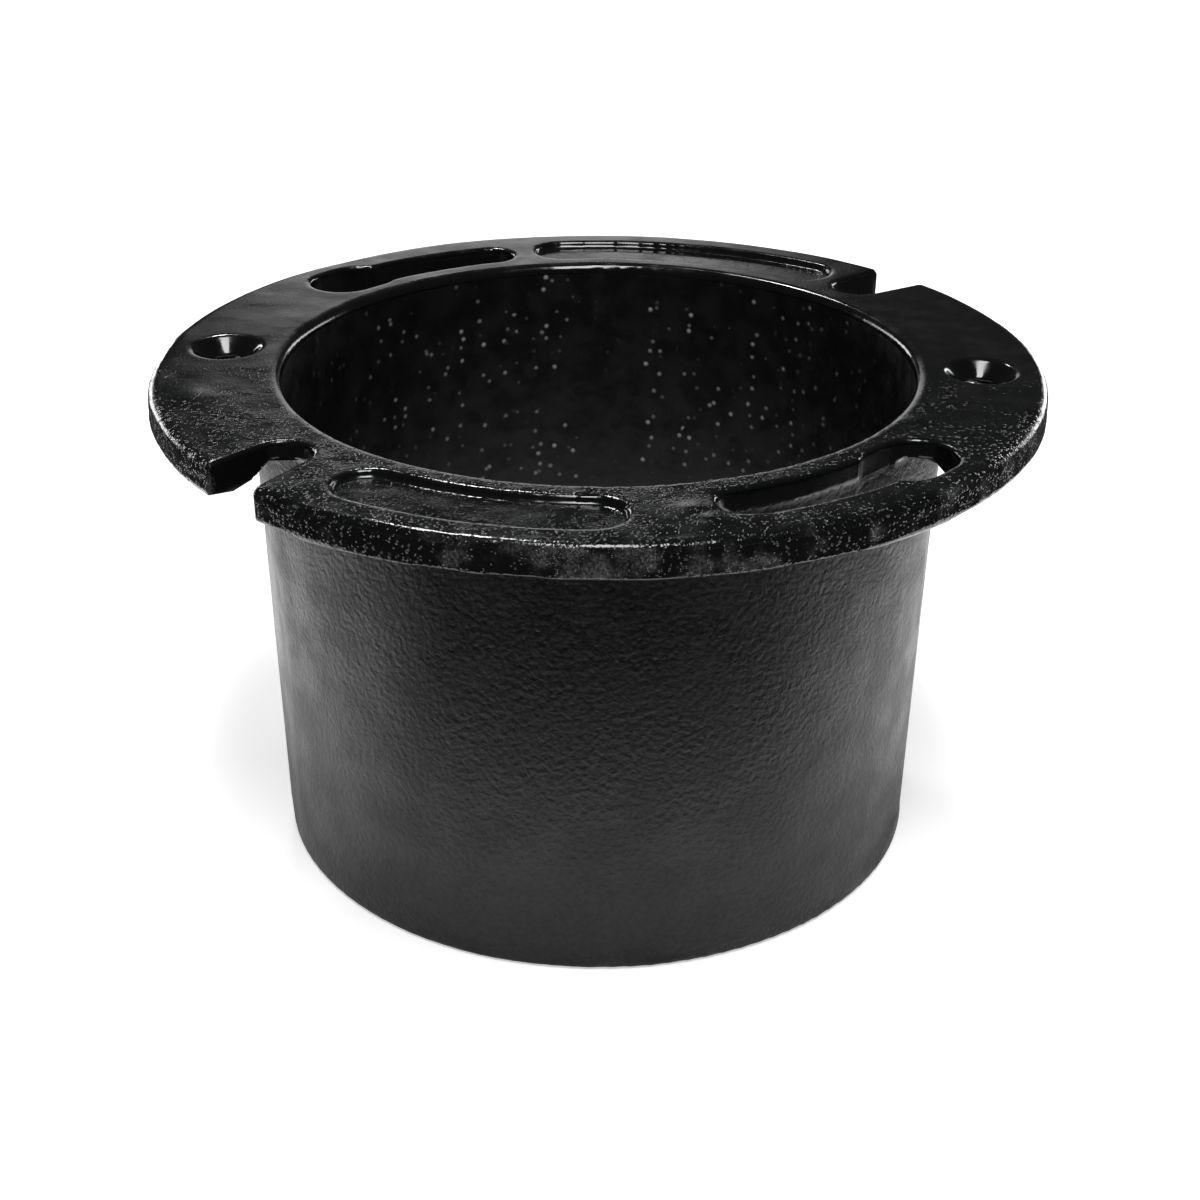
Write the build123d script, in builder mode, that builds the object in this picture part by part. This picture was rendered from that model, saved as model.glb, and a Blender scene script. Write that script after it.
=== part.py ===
from build123d import *
from math import hypot, radians, tan
import os

# Cast iron closet flange: a drafted barrel under a round flange. The flange
# carries two keyhole slots for the closet bolts, two open notches, two
# countersunk screw holes and two shallow sunk panels, set out in pairs on
# opposite sides. Millimetres, +Z up, with the origin at the centre of the
# barrel's foot, +X to the right and +Y to the back.

# barrel and bore
height = 100.8
bore_r = 63.3
wall_neck = 6.2
wall_foot = 3.9
bore_edge_r = 1.8
foot_edge_r = 0.8
neck_fillet_r = 1.0

# flange: a thin plate with a deeper lip under its rim, which carries the ridge
# left where the halves of the mould met
flange_t = 6.7
plate_t = 3.8
lip_w = 9.4
lip_slope_w = 4.5
lip_edge_r = 0.8
rim_land = 8.5
rim_edge_r = 1.6
underside_edge_r = 0.5
parting_height = 1.6
parting_ridge = 0.35
parting_ridge_h = 0.9

# keyhole slots: a narrow round-ended run with a wider entry for the bolt's head
slot_clearance = 0.3
slot_w = 10.6
slot_sweep = 25.1
entry_w = 14.8
entry_offset = 1.0
entry_sweep = 3.9
entry_after_screw = 36.6

# open notches: a round end, with walls that flare out to rounded mouths, and
# that lean a little off the radius
notch_w = 11.4
notch_offset = 0.6
notch_flare = 5.0
notch_corner_r = 1.6
front_notch_lean = 12.0
back_notch_lean = -3.0

# countersunk screw holes
screw_offset = 1.1
screw_hole_r = 3.97
screw_head_r = 7.2
screw_head_angle = 90
screw_angle = -4.7

# sunk panels in the top face, and where they and the notches come
panel_w = 13.0
panel_offset = 0.5
panel_depth = 1.4
front_panel_after_slot = 20.5
front_panel_sweep = 30.7
front_notch_after_panel = 16.7
back_panel_after_slot = 13.3
back_panel_sweep = 44.0
back_notch_after_panel = 12.4

# radii and levels that follow from the sizes above
barrel_neck_r = bore_r + wall_neck
barrel_foot_r = bore_r + wall_foot
slot_circle_r = barrel_neck_r + slot_clearance + slot_w / 2
entry_circle_r = slot_circle_r + entry_offset
notch_circle_r = slot_circle_r + notch_offset
screw_circle_r = slot_circle_r + screw_offset
panel_circle_r = slot_circle_r + panel_offset
flange_r = slot_circle_r + slot_w / 2 + rim_land
lip_r = flange_r - lip_w
underside = height - flange_t
plate_underside = height - plate_t
parting_level = underside + parting_height

# directions round the flange, clockwise from the screw hole on the right, and
# what differs between the two sides: turn, panel start and end, notch and lean
entry_angle = screw_angle - entry_after_screw
head_angle = entry_angle - entry_sweep
tail_angle = head_angle - slot_sweep
front_panel_start = tail_angle - front_panel_after_slot
front_panel_end = front_panel_start - front_panel_sweep
front_notch = front_panel_end - front_notch_after_panel
back_panel_start = tail_angle - back_panel_after_slot
back_panel_end = back_panel_start - back_panel_sweep
back_notch = back_panel_end - back_notch_after_panel
front = (0, front_panel_start, front_panel_end, front_notch, front_notch_lean)
back = (180, back_panel_start, back_panel_end, back_notch, back_notch_lean)

# cutters run this far past the faces that they open
past = 1.0
slot_depth = flange_t + past
outline_r = flange_r + parting_ridge + past
mouth_run = outline_r + notch_w / 2 - notch_circle_r
mouth_w = notch_w + 2 * mouth_run * tan(radians(notch_flare))


def arc_slot(radius, start, end, width):
    """Sketch a round-ended slot that follows a circle clockwise."""
    line = CenterArc((0, 0), radius, end, start - end, mode=Mode.PRIVATE)
    SlotArc(line, width)


with BuildPart() as closet_flange:
    # the casting as a ring: bore, barrel with its draft, flange and rim
    with BuildSketch(Plane.XZ) as section:
        with BuildLine():
            Polyline(
                (bore_r, 0),
                (barrel_foot_r, 0),
                (barrel_neck_r, plate_underside),
                (lip_r - lip_slope_w, plate_underside),
                (lip_r, underside),
                (flange_r, underside),
                (flange_r, parting_level - parting_ridge_h / 2),
                (flange_r + parting_ridge, parting_level),
                (flange_r, parting_level + parting_ridge_h / 2),
                (flange_r, height),
                (bore_r, height),
                close=True,
            )
        make_face()
        for corner, corner_r in (
            ((barrel_foot_r, 0), foot_edge_r),
            ((barrel_neck_r, plate_underside), neck_fillet_r),
            ((lip_r, underside), lip_edge_r),
            ((flange_r, underside), underside_edge_r),
            ((flange_r, height), rim_edge_r),
            ((bore_r, height), bore_edge_r),
        ):
            nearest = section.vertices().sort_by_distance(corner)[0]
            fillet(nearest, corner_r)
    revolve(axis=Axis.Z)

    # open notches, as an outline of the flange with their mouths rounded
    with BuildSketch() as outline:
        with PolarLocations(0, 1, start_angle=front_notch):
            Circle(outline_r)
        for turn, _, _, notch, lean in (front, back):
            with PolarLocations(notch_circle_r, 1, start_angle=turn + notch):
                Circle(notch_w / 2, mode=Mode.SUBTRACT)
                with PolarLocations(mouth_run / 2, 1, start_angle=lean):
                    Trapezoid(
                        mouth_w,
                        mouth_run,
                        90 - notch_flare,
                        rotation=90,
                        mode=Mode.SUBTRACT,
                    )
        mouths = outline.vertices().group_by(lambda v: round(hypot(v.X, v.Y), 3))
        fillet(mouths[-1], notch_corner_r)
    extrude(amount=height, mode=Mode.INTERSECT)

    # keyhole slots, through the flange and the neck's fillet
    with BuildSketch(Plane.XY.offset(height)):
        for turn, _, _, _, _ in (front, back):
            arc_slot(slot_circle_r, turn + entry_angle, turn + tail_angle, slot_w)
            arc_slot(entry_circle_r, turn + entry_angle, turn + head_angle, entry_w)
    extrude(amount=-slot_depth, mode=Mode.SUBTRACT)

    # sunk panels
    with BuildSketch(Plane.XY.offset(height)):
        for turn, start, end, _, _ in (front, back):
            arc_slot(panel_circle_r, turn + start, turn + end, panel_w)
    extrude(amount=-panel_depth, mode=Mode.SUBTRACT)

    # countersunk screw holes
    with Locations(Plane.XY.offset(height)):
        with PolarLocations(screw_circle_r, 2, start_angle=screw_angle):
            CounterSinkHole(screw_hole_r, screw_head_r, flange_t, screw_head_angle)

closet_flange.part.label = "closet_flange"
export_step(closet_flange.part, "parts/closet_flange.step")
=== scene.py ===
import math
import random

import bpy
import numpy as np
from mathutils import Euler, Matrix, Vector, noise


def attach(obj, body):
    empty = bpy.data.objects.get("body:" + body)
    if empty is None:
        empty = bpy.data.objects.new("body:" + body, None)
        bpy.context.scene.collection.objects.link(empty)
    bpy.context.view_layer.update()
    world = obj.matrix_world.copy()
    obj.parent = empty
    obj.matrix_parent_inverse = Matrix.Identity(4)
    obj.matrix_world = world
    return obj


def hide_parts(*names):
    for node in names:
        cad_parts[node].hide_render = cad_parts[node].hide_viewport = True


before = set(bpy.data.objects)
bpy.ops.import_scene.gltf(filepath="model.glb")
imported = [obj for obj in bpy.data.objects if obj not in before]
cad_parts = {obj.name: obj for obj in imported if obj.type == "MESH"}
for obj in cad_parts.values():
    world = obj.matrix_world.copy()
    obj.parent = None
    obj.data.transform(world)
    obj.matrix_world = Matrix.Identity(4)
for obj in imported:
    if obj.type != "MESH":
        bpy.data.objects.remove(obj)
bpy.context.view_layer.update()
scene = bpy.context.scene
MM = 0.001


# VIEWPOINT
# The flange stands on its foot and is seen from the front, a little over 0.4 m
# away and about 27 degrees above the floor, through a 59 mm lens on a 36 mm
# frame.
view = bpy.data.objects.new("photo_view", bpy.data.cameras.new("photo_view"))
view.data.sensor_width = 36
view.data.lens = 59.16
view.data.clip_start = 0.01
view_tilt = math.radians(90 - 26.641)
view_roll = 0.0045
view.rotation_euler = (
    Euler((view_tilt, 0, 0)).to_matrix() @ Matrix.Rotation(view_roll, 3, "Z")
).to_euler()
view.location = Vector((0.485, -376.406, 235.236)) * MM
scene.collection.objects.link(view)
scene.camera = view


# IRON CASTING
# One grey iron casting: a drafted barrel under a slotted flange. It is poured
# in green sand with a sand core in the bore, so every face keeps the grain of
# the sand, low lumps and a few pits, and no edge is sharp.
BORE_R = 63.3
BARREL_FOOT_R = 67.2
BARREL_NECK_R = 69.5
FLANGE_R = 88.9
HEIGHT = 100.8
FLANGE_UNDERSIDE = 94.1
PARTING_LEVEL = 95.7
SKIN_STEP = 0.5
TRIANGLES = 196000


def cast_noise(places, size, seed):
    """Smooth lumps about size mm across, between -1 and 1, one per place."""
    shift = Vector((seed * 17.3, seed * -9.1, seed * 5.7))
    return np.array([noise.noise(Vector(p) / size + shift) for p in places])


def ease(values, low, high):
    """0 at low and below, 1 at high and above, and smooth between."""
    t = np.clip((values - low) / (high - low), 0, 1)
    return t * t * (3 - 2 * t)


casting = bpy.data.objects.new(
    "iron_casting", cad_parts["closet_flange"].data.copy()
)
scene.collection.objects.link(casting)
casting.data.materials.clear()

# an even skin of small faces, with the edges a little softened
remesh = casting.modifiers.new("even_skin", "REMESH")
remesh.mode = "VOXEL"
remesh.voxel_size = SKIN_STEP * MM
soften = casting.modifiers.new("soft_edges", "SMOOTH")
soften.factor = 0.5
soften.iterations = 3
skin = bpy.data.meshes.new_from_object(
    casting.evaluated_get(bpy.context.evaluated_depsgraph_get())
)
casting.modifiers.clear()
casting.data = skin

count = len(skin.vertices)
places = np.empty(count * 3)
skin.vertices.foreach_get("co", places)
places = places.reshape(-1, 3) / MM
normals = np.empty(count * 3)
skin.vertex_normals.foreach_get("vector", normals)
normals = normals.reshape(-1, 3)
radius = np.hypot(places[:, 0], places[:, 1])
up = places[:, 2]

on_flange = ease(up, 92.0, 95.0) * ease(radius, BORE_R + 0.6, BORE_R + 3.0)
on_top = ease(normals[:, 2], 0.3, 0.9) * on_flange
on_rim = ease(radius, FLANGE_R - 2.0, FLANGE_R - 0.6)

# the grain of the sand is on the faces and the rim, and edges are smoother
on_face = ease(np.abs(normals[:, 2]), 0.93, 0.995)
grainy = np.maximum(on_face, 2.2 * on_rim)
grainy *= ease(up, FLANGE_UNDERSIDE + 0.2, FLANGE_UNDERSIDE + 0.8)
grain_part = skin.attributes.new("grain", "FLOAT", "POINT")
grain_part.data.foreach_set("value", grainy.astype(np.float32))

# the front of the flange came out of the mould roughest
rougher = 1 - 0.8 * ease(places[:, 1], -60, 10)
proud = 0.10 * cast_noise(places, 19, 1)
proud += (0.04 + 0.04 * on_flange * rougher) * cast_noise(places, 7.5, 2)
lumpy = np.flatnonzero(grainy * on_flange > 0)
for lump_size, lump_h, seed in ((3.6, 0.035, 3), (2.0, 0.025, 4)):
    lumps = cast_noise(places[lumpy], lump_size, seed)
    proud[lumpy] += lump_h * (grainy * on_flange * rougher)[lumpy] * lumps

# low mounds where the sand of the mould had broken away, as x, y, size, height
for mound_x, mound_y, mound_size, mound_h in (
    (15.5, -74.0, 2.6, 0.40),
    (18.5, -78.5, 2.2, 0.35),
    (21.5, -71.5, 2.0, 0.30),
    (26.0, -76.5, 2.4, 0.25),
    (60.0, -33.0, 2.5, 0.30),
    (-78.0, -22.0, 4.0, 0.30),
):
    away = np.hypot(places[:, 0] - mound_x, places[:, 1] - mound_y)
    proud += on_top * mound_h * np.exp(-((away / mound_size) ** 2))

# pits where sand or gas sat against the iron of the barrel
dice = random.Random(11)
for _ in range(70):
    pit_bearing = math.radians(dice.uniform(-180, 180))
    pit_up = dice.uniform(4, 90)
    pit_r = BARREL_FOOT_R + (BARREL_NECK_R - BARREL_FOOT_R) * pit_up / HEIGHT
    pit_size = dice.uniform(0.9, 1.6)
    pit = [pit_r * math.cos(pit_bearing), pit_r * math.sin(pit_bearing), pit_up]
    away = np.linalg.norm(places - np.array(pit), axis=1)
    proud -= dice.uniform(0.12, 0.3) * np.exp(-((away / pit_size) ** 2))

# the ridge that the mould's parting leaves is thick in places, thin in others
ridge = np.exp(-(((up - PARTING_LEVEL) / 0.45) ** 2)) * on_rim
proud += ridge * (-0.14 + 0.25 * cast_noise(places, 11, 5))

moved = places + normals * proud[:, None]
# the rim is knocked about, so its outline wanders a little
wander = cast_noise(places * [1, 1, 0], 26, 6) * 0.35 * ease(radius, 84, 88)
moved[:, 0] += places[:, 0] / radius * wander
moved[:, 1] += places[:, 1] / radius * wander
moved[:, 2] = np.maximum(moved[:, 2], 0)
skin.vertices.foreach_set("co", (moved * MM).ravel())
skin.update()

# fewer faces, where the form is plain: the barrel and the underside
plain = 1 - on_flange
plain = np.where((on_flange > 0.5) & (normals[:, 2] < -0.5), 0.6, plain)
plain = plain * ease(up, 1.2, 2.5) * (1 - ease(up, HEIGHT - 5, HEIGHT - 3))
plain = np.round(plain, 1)
plain_parts = casting.vertex_groups.new(name="plain_parts")
for weight in np.unique(plain):
    members = np.flatnonzero(plain == weight).tolist()
    plain_parts.add(members, float(weight), "REPLACE")
fewer = casting.modifiers.new("fewer_faces", "DECIMATE")
skin.calc_loop_triangles()
fewer.ratio = TRIANGLES / len(skin.loop_triangles)
fewer.vertex_group = "plain_parts"
fewer.vertex_group_factor = 1.0
cast_mesh = bpy.data.meshes.new_from_object(
    casting.evaluated_get(bpy.context.evaluated_depsgraph_get())
)
casting.modifiers.clear()
casting.data = cast_mesh
casting.vertex_groups.clear()
cast_mesh.shade_smooth()
print("skin", count, "faces", len(cast_mesh.polygons))


# BITUMEN COATING
# The whole casting is dipped hot in black bitumen varnish and hung to drain.
# The varnish lies glossy over the grain of the flange, has drained to a thin
# satin film on the barrel, and is thin and dull in the bore.
def srgb(code):
    """Linear colour of an sRGB hex code."""
    steps = [int(code[i : i + 2], 16) / 255 for i in (1, 3, 5)]
    return [
        s / 12.92 if s <= 0.04045 else ((s + 0.055) / 1.055) ** 2.4 for s in steps
    ] + [1]


def add(tree, kind, settings=None, **inputs):
    """A new node, with its settings, and with a value, a node or a pair of node
    and output for each input, named, or numbered after an underscore."""
    node = tree.nodes.new(kind)
    for name, value in (settings or {}).items():
        setattr(node, name, value)
    for name, value in inputs.items():
        key = int(name[1:]) if name[0] == "_" else name.replace("_", " ")
        if isinstance(value, bpy.types.Node):
            value = (value, 0)
        if isinstance(value, tuple) and isinstance(value[0], bpy.types.Node):
            tree.links.new(value[0].outputs[value[1]], node.inputs[key])
        else:
            node.inputs[key].default_value = value
    return node


SMOOTH = {"interpolation_type": "SMOOTHSTEP"}
TIMES = {"operation": "MULTIPLY"}

# Glossy varnish over sand grain, as on the flange: each grain is a small dome
# that catches a lamp as a point of light, among smoother runs and grey dust.
glossy = bpy.data.materials.new("glossy_bitumen_over_sand_grain")
glossy.use_nodes = True
tree = glossy.node_tree
tree.nodes.clear()
coords = add(tree, "ShaderNodeTexCoord")
place = (coords, "Object")
patches = add(
    tree, "ShaderNodeTexNoise", Vector=place, Scale=1 / (9 * MM), Detail=3
)
sandy = add(
    tree,
    "ShaderNodeMapRange",
    SMOOTH,
    Value=patches,
    From_Min=0.42,
    From_Max=0.60,
    To_Min=0.3,
    To_Max=1.0,
)
runs = add(tree, "ShaderNodeTexNoise", Vector=place, Scale=1 / (3.2 * MM), Detail=2)
grains = add(tree, "ShaderNodeTexVoronoi", Vector=place, Scale=1 / (0.65 * MM))
dome = add(
    tree,
    "ShaderNodeMapRange",
    SMOOTH,
    Value=(grains, "Distance"),
    From_Min=0.0,
    From_Max=0.48,
    To_Min=1.0,
    To_Max=0.0,
)
steep = add(
    tree,
    "ShaderNodeMapRange",
    SMOOTH,
    Value=(grains, "Color"),
    From_Min=0.38,
    From_Max=0.68,
    To_Min=0.0,
    To_Max=1.0,
)
dome = add(tree, "ShaderNodeMath", TIMES, _0=dome, _1=steep)
ways = add(tree, "ShaderNodeSeparateXYZ", Vector=place)
front = add(
    tree,
    "ShaderNodeMapRange",
    SMOOTH,
    Value=(ways, "Y"),
    From_Min=-62 * MM,
    From_Max=10 * MM,
    To_Min=1.0,
    To_Max=0.10,
)
faces_only = add(tree, "ShaderNodeAttribute", {"attribute_name": "grain"})
rough_part = add(
    tree, "ShaderNodeMath", TIMES, _0=front, _1=(faces_only, "Fac")
)
rough_part = add(tree, "ShaderNodeMath", TIMES, _0=rough_part, _1=sandy)
sand = add(tree, "ShaderNodeMath", TIMES, _0=dome, _1=rough_part)
grit = add(tree, "ShaderNodeTexNoise", Vector=place, Scale=1 / (0.5 * MM), Detail=1)
grit_part = add(tree, "ShaderNodeMath", TIMES, _0=grit, _1=rough_part)
runs_part = add(tree, "ShaderNodeMath", TIMES, _0=runs, _1=front)
swell = add(tree, "ShaderNodeBump", Height=runs_part, Distance=0.08 * MM)
sanded = add(
    tree, "ShaderNodeBump", Height=sand, Distance=0.26 * MM, Normal=swell
)
gritty = add(
    tree, "ShaderNodeBump", Height=grit_part, Distance=0.05 * MM, Normal=sanded
)
gloss_spots = add(
    tree, "ShaderNodeTexNoise", Vector=place, Scale=1 / (6 * MM), Detail=2
)
gloss = add(
    tree,
    "ShaderNodeMapRange",
    SMOOTH,
    Value=gloss_spots,
    From_Min=0.35,
    From_Max=0.65,
    To_Min=0.10,
    To_Max=0.20,
)
dust_spots = add(
    tree, "ShaderNodeTexNoise", Vector=place, Scale=1 / (7 * MM), Detail=5
)
dusty = add(
    tree,
    "ShaderNodeMapRange",
    SMOOTH,
    Value=dust_spots,
    From_Min=0.48,
    From_Max=0.70,
    To_Min=0.0,
    To_Max=0.8,
)
specks = add(
    tree, "ShaderNodeTexNoise", Vector=place, Scale=1 / (0.45 * MM), Detail=3
)
specks = add(
    tree,
    "ShaderNodeMapRange",
    SMOOTH,
    Value=specks,
    From_Min=0.35,
    From_Max=0.68,
    To_Min=0.2,
    To_Max=1.0,
)
dust = add(tree, "ShaderNodeMath", TIMES, _0=dusty, _1=specks)
# the dust is on the rim, where hands and the floor rub it in
surface = add(tree, "ShaderNodeNewGeometry")
facing = add(tree, "ShaderNodeSeparateXYZ", Vector=(surface, "Normal"))
upright = add(
    tree,
    "ShaderNodeMapRange",
    SMOOTH,
    Value=(facing, "Z"),
    From_Min=0.4,
    From_Max=0.95,
    To_Min=0.5,
    To_Max=0.1,
)
dust = add(tree, "ShaderNodeMath", TIMES, _0=dust, _1=upright)
dust = add(tree, "ShaderNodeMath", TIMES, _0=dust, _1=(faces_only, "Fac"))
film = add(
    tree,
    "ShaderNodeMix",
    {"data_type": "RGBA"},
    _0=dust,
    _6=srgb("#0a0a0b"),
    _7=srgb("#545456"),
)
shader = add(
    tree,
    "ShaderNodeBsdfPrincipled",
    Base_Color=(film, 2),
    Roughness=gloss,
    IOR=1.5,
    Normal=gritty,
)
add(tree, "ShaderNodeOutputMaterial", Surface=shader)

# Thin satin varnish, as on the barrel: it follows the orange peel of the sand,
# which shows as soft mottling of painted shade, a darker colour in the peel's
# low spots and a lighter one on its high spots, and hardly glints.
satin = bpy.data.materials.new("satin_bitumen_over_orange_peel")
satin.use_nodes = True
tree = satin.node_tree
tree.nodes.clear()
coords = add(tree, "ShaderNodeTexCoord")
place = (coords, "Object")
waves = add(tree, "ShaderNodeTexNoise", Vector=place, Scale=1 / (6 * MM), Detail=2)
peel = add(tree, "ShaderNodeTexNoise", Vector=place, Scale=1 / (1.1 * MM), Detail=4)
wavy = add(tree, "ShaderNodeBump", Height=waves, Distance=0.06 * MM)
peeled = add(tree, "ShaderNodeBump", Height=peel, Distance=0.24 * MM, Normal=wavy)
# painted shade: the colour is dark in the peel's low spots and lighter on its high
# spots
peel_painted_shading = add(
    tree,
    "ShaderNodeMapRange",
    SMOOTH,
    Value=peel,
    From_Min=0.35,
    From_Max=0.65,
)
film = add(
    tree,
    "ShaderNodeMix",
    {"data_type": "RGBA"},
    _0=peel_painted_shading,
    _6=srgb("#060606"),
    _7=srgb("#18181a"),
)
gloss_spots = add(
    tree, "ShaderNodeTexNoise", Vector=place, Scale=1 / (9 * MM), Detail=3
)
gloss = add(
    tree,
    "ShaderNodeMapRange",
    SMOOTH,
    Value=gloss_spots,
    From_Min=0.35,
    From_Max=0.65,
    To_Min=0.36,
    To_Max=0.46,
)
shader = add(
    tree,
    "ShaderNodeBsdfPrincipled",
    Base_Color=(film, 2),
    Roughness=gloss,
    IOR=1.5,
    Normal=peeled,
)
shader.inputs["Specular IOR Level"].default_value = 0.36
add(tree, "ShaderNodeOutputMaterial", Surface=shader)

# Thin dull varnish on the mark of the sand core, as in the bore: near black,
# with a few coarse grains that are raised and painted pale grey as painted glints.
dull = bpy.data.materials.new("dull_bitumen_over_core_sand")
dull.use_nodes = True
tree = dull.node_tree
tree.nodes.clear()
coords = add(tree, "ShaderNodeTexCoord")
place = (coords, "Object")
waves = add(tree, "ShaderNodeTexNoise", Vector=place, Scale=1 / (7 * MM), Detail=2)
wavy = add(tree, "ShaderNodeBump", Height=waves, Distance=0.2 * MM)
grains = add(tree, "ShaderNodeTexVoronoi", Vector=place, Scale=1 / (2.4 * MM))
grain = add(
    tree,
    "ShaderNodeMapRange",
    SMOOTH,
    Value=(grains, "Distance"),
    From_Min=0.0,
    From_Max=0.32,
    To_Min=1.0,
    To_Max=0.0,
)
some = add(
    tree,
    "ShaderNodeMapRange",
    SMOOTH,
    Value=(grains, "Color"),
    From_Min=0.46,
    From_Max=0.86,
)
grains_and_painted_glints = add(tree, "ShaderNodeMath", TIMES, _0=grain, _1=some)
# more of them at the back of the bore, where the lamps reach, so the painted
# glints sit where the light falls
ways = add(tree, "ShaderNodeSeparateXYZ", Vector=place)
at_lit_back = add(
    tree,
    "ShaderNodeMapRange",
    SMOOTH,
    Value=(ways, "Y"),
    From_Min=25 * MM,
    From_Max=62 * MM,
    To_Min=0.15,
    To_Max=1.0,
)
grains_and_painted_glints = add(tree, "ShaderNodeMath", TIMES, _0=grains_and_painted_glints, _1=at_lit_back)
# painted highlight: the grains' colour is pale grey, as glints
film = add(
    tree,
    "ShaderNodeMix",
    {"data_type": "RGBA"},
    _0=grains_and_painted_glints,
    _6=srgb("#0b0b0c"),
    _7=srgb("#a2a2a6"),
)
grained = add(
    tree, "ShaderNodeBump", Height=grains_and_painted_glints, Distance=0.10 * MM, Normal=wavy
)
gloss_spots = add(
    tree, "ShaderNodeTexNoise", Vector=place, Scale=1 / (5 * MM), Detail=2
)
gloss = add(
    tree,
    "ShaderNodeMapRange",
    SMOOTH,
    Value=gloss_spots,
    From_Min=0.35,
    From_Max=0.65,
    To_Min=0.30,
    To_Max=0.42,
)
shader = add(
    tree,
    "ShaderNodeBsdfPrincipled",
    Base_Color=(film, 2),
    Roughness=gloss,
    IOR=1.5,
    Normal=grained,
)
add(tree, "ShaderNodeOutputMaterial", Surface=shader)

for varnish in (glossy, satin, dull):
    cast_mesh.materials.append(varnish)

faces = len(cast_mesh.polygons)
centres = np.empty(faces * 3)
cast_mesh.polygons.foreach_get("center", centres)
centres = centres.reshape(-1, 3) / MM
face_r = np.hypot(centres[:, 0], centres[:, 1])
under_plate = (centres[:, 2] < FLANGE_UNDERSIDE + 2.4) & (face_r < BARREL_NECK_R + 0.6)
in_bore = (centres[:, 2] < HEIGHT - 2.2) & (face_r < BORE_R + 0.5)
kinds = np.where(in_bore, 2, np.where(under_plate, 1, 0))
cast_mesh.polygons.foreach_set("material_index", kinds.astype(np.int32))

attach(casting, "root")
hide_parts("closet_flange")


# FLOOR
# A wide matt white floor that also makes the white background, and a black card
# on it in front, hidden from the camera, that the barrel mirrors: a painted dark
# reflection, since only mirrored rays meet it.
def flat_sheet(name, corners, level):
    """A level sheet with an outline of x, y corners, as stage."""
    mesh = bpy.data.meshes.new(name)
    mesh.from_pydata([(x, y, 0) for x, y in corners], [], [range(len(corners))])
    sheet = bpy.data.objects.new(name, mesh)
    sheet.location.z = level
    scene.collection.objects.link(sheet)
    return sheet


floor = flat_sheet("floor", [(-6, -6), (6, -6), (6, 6), (-6, 6)], -0.2 * MM)
white = bpy.data.materials.new("matt_white_paper")
white.use_nodes = True
tree = white.node_tree
tree.nodes.clear()
rays = add(tree, "ShaderNodeLightPath")
mirrored = add(
    tree,
    "ShaderNodeMath",
    {"operation": "MAXIMUM"},
    _0=(rays, "Is Glossy Ray"),
    _1=(rays, "Is Transmission Ray"),
)
coords = add(tree, "ShaderNodeTexCoord")
from_object = add(
    tree, "ShaderNodeVectorMath", {"operation": "LENGTH"}, _0=(coords, "Object")
)
far = add(
    tree,
    "ShaderNodeMapRange",
    SMOOTH,
    Value=(from_object, "Value"),
    From_Min=0.2,
    From_Max=0.7,
    To_Min=0.5,
    To_Max=1.0,
)
# the floor that the barrel mirrors is in the flange's shade close by
shade = add(
    tree,
    "ShaderNodeMapRange",
    SMOOTH,
    Value=(from_object, "Value"),
    From_Min=0.065,
    From_Max=0.13,
    To_Min=0.1,
    To_Max=1.0,
)
mirrored = add(tree, "ShaderNodeMath", TIMES, _0=mirrored, _1=shade)
seen = add(tree, "ShaderNodeMath", TIMES, _0=(rays, "Is Camera Ray"), _1=far)
lift = add(tree, "ShaderNodeMath", {"operation": "MAXIMUM"}, _0=seen, _1=mirrored)
paper = add(tree, "ShaderNodeBsdfDiffuse", Color=srgb("#f2f2f2"))
glow = add(tree, "ShaderNodeEmission", Color=srgb("#ffffff"), Strength=lift)
both = add(tree, "ShaderNodeAddShader", _0=paper, _1=glow)
add(tree, "ShaderNodeOutputMaterial", Surface=both)
floor.data.materials.append(white)

card_inside, card_outside = [], []
for step in range(-35, 36):
    # 5 degrees a step, from the front round to both sides and on to the back
    bearing = math.radians(5 * step - 90)
    aim = (math.cos(bearing), math.sin(bearing))
    cut = 0.128 + 0.107 * float(ease(abs(5 * step), 46, 80))
    card_inside.append((cut * aim[0], cut * aim[1]))
    card_outside.append((4 * aim[0], 4 * aim[1]))
# painted reflection: the card is kept from the camera, diffuse light and shadows, so
# it is seen only mirrored
dark_reflection_card = flat_sheet("painted_dark_reflection_card", card_inside + card_outside[::-1], 0.5 * MM)
dark_reflection_card.visible_camera = False
dark_reflection_card.visible_diffuse = False
dark_reflection_card.visible_transmission = False
dark_reflection_card.visible_shadow = False
black = bpy.data.materials.new("painted_dark_reflection_black")
black.use_nodes = True
tree = black.node_tree
tree.nodes.clear()
card_face = add(tree, "ShaderNodeBsdfDiffuse", Color=srgb("#3a3a3a"))
add(tree, "ShaderNodeOutputMaterial", Surface=card_face)
dark_reflection_card.data.materials.append(black)


# LIGHT
# A white surround at floor level that darkens upwards, a soft box above, one
# at each side a little behind, and a small one for points of light.
world = bpy.data.worlds.new("white_surround")
scene.world = world
world.use_nodes = True
sky = world.node_tree
sky.nodes.clear()
rays = add(sky, "ShaderNodeLightPath")
aim = add(sky, "ShaderNodeTexCoord")
ways = add(sky, "ShaderNodeSeparateXYZ", Vector=(aim, "Generated"))
low_band = add(
    sky,
    "ShaderNodeMapRange",
    SMOOTH,
    Value=(ways, "Z"),
    From_Min=-0.10,
    From_Max=0.03,
    To_Min=1.0,
    To_Max=0.04,
)
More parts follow.
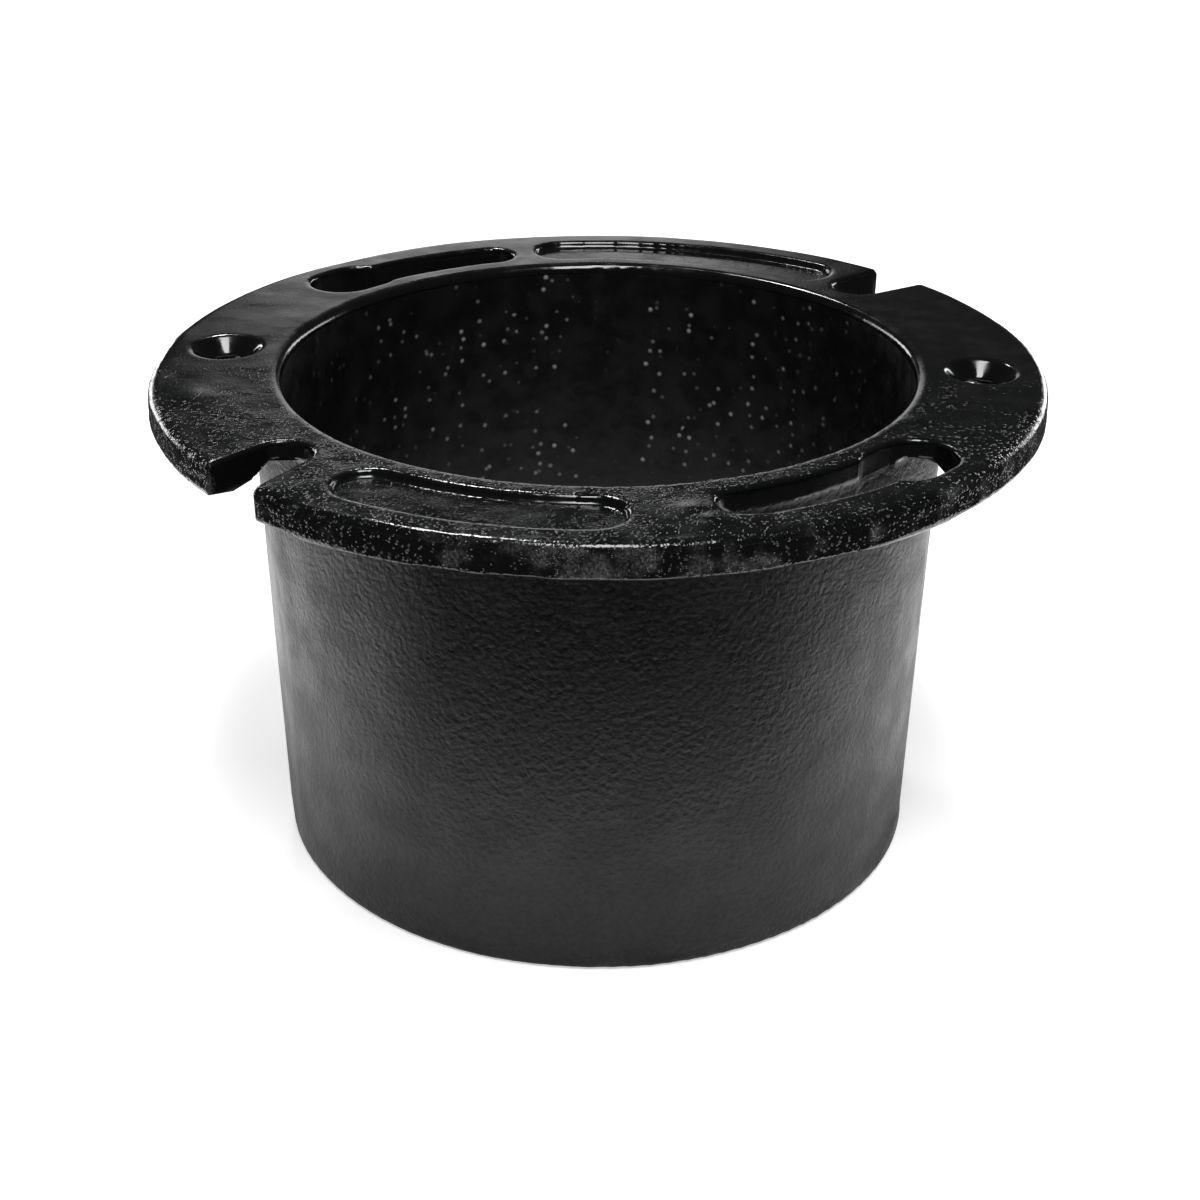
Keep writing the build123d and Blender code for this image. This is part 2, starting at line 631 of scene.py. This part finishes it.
# the sheet behind rises to about 20 degrees, a little to the left
sheet_top = add(
    sky,
    "ShaderNodeMapRange",
    SMOOTH,
    Value=(ways, "Z"),
    From_Min=0.28,
    From_Max=0.37,
    To_Min=1.0,
    To_Max=0.0,
)
aside = add(sky, "ShaderNodeMath", {"operation": "ADD"}, _0=(ways, "X"), _1=0.05)
aside = add(sky, "ShaderNodeMath", {"operation": "ABSOLUTE"}, _0=aside)
sheet_side = add(
    sky,
    "ShaderNodeMapRange",
    SMOOTH,
    Value=aside,
    From_Min=0.07,
    From_Max=0.19,
    To_Min=1.0,
    To_Max=0.0,
)
behind = add(
    sky, "ShaderNodeMath", {"operation": "GREATER_THAN"}, _0=(ways, "Y"), _1=0.0
)
sheet = add(sky, "ShaderNodeMath", TIMES, _0=sheet_top, _1=sheet_side)
sheet = add(sky, "ShaderNodeMath", TIMES, _0=sheet, _1=behind)
surround = add(
    sky, "ShaderNodeMath", {"operation": "MAXIMUM"}, _0=low_band, _1=sheet
)
mirrored = add(sky, "ShaderNodeMath", TIMES, _0=surround, _1=(rays, "Is Glossy Ray"))
soft = add(sky, "ShaderNodeMath", TIMES, _0=(rays, "Is Diffuse Ray"), _1=0.2)
level = add(sky, "ShaderNodeMath", {"operation": "MAXIMUM"}, _0=mirrored, _1=soft)
level = add(
    sky,
    "ShaderNodeMath",
    {"operation": "MAXIMUM"},
    _0=level,
    _1=(rays, "Is Camera Ray"),
)
backdrop = add(sky, "ShaderNodeBackground", Color=srgb("#ffffff"), Strength=level)
add(sky, "ShaderNodeOutputWorld", Surface=backdrop)

for name, spot, wide, tall, power in (
    ("top_box", (0.05, -0.36, 1.05), 0.34, 0.60, 10.0),
    ("left_box", (-0.64, 0.70, 0.16), 0.60, 0.30, 3.0),
    ("right_box", (0.64, 0.70, 0.16), 0.60, 0.30, 3.0),
    ("back_box", (-0.16, 0.66, 0.84), 0.11, 0.11, 2.0),
):
    lamp = bpy.data.objects.new(name, bpy.data.lights.new(name, "AREA"))
    lamp.data.shape = "RECTANGLE"
    lamp.data.size = wide
    lamp.data.size_y = tall
    lamp.data.energy = power
    lamp.location = spot
    lamp.rotation_euler = (
        (Vector(spot) - Vector((0, 0, 0.08))).to_track_quat("Z", "Y").to_euler()
    )
    scene.collection.objects.link(lamp)

scene.view_settings.view_transform = "Standard"
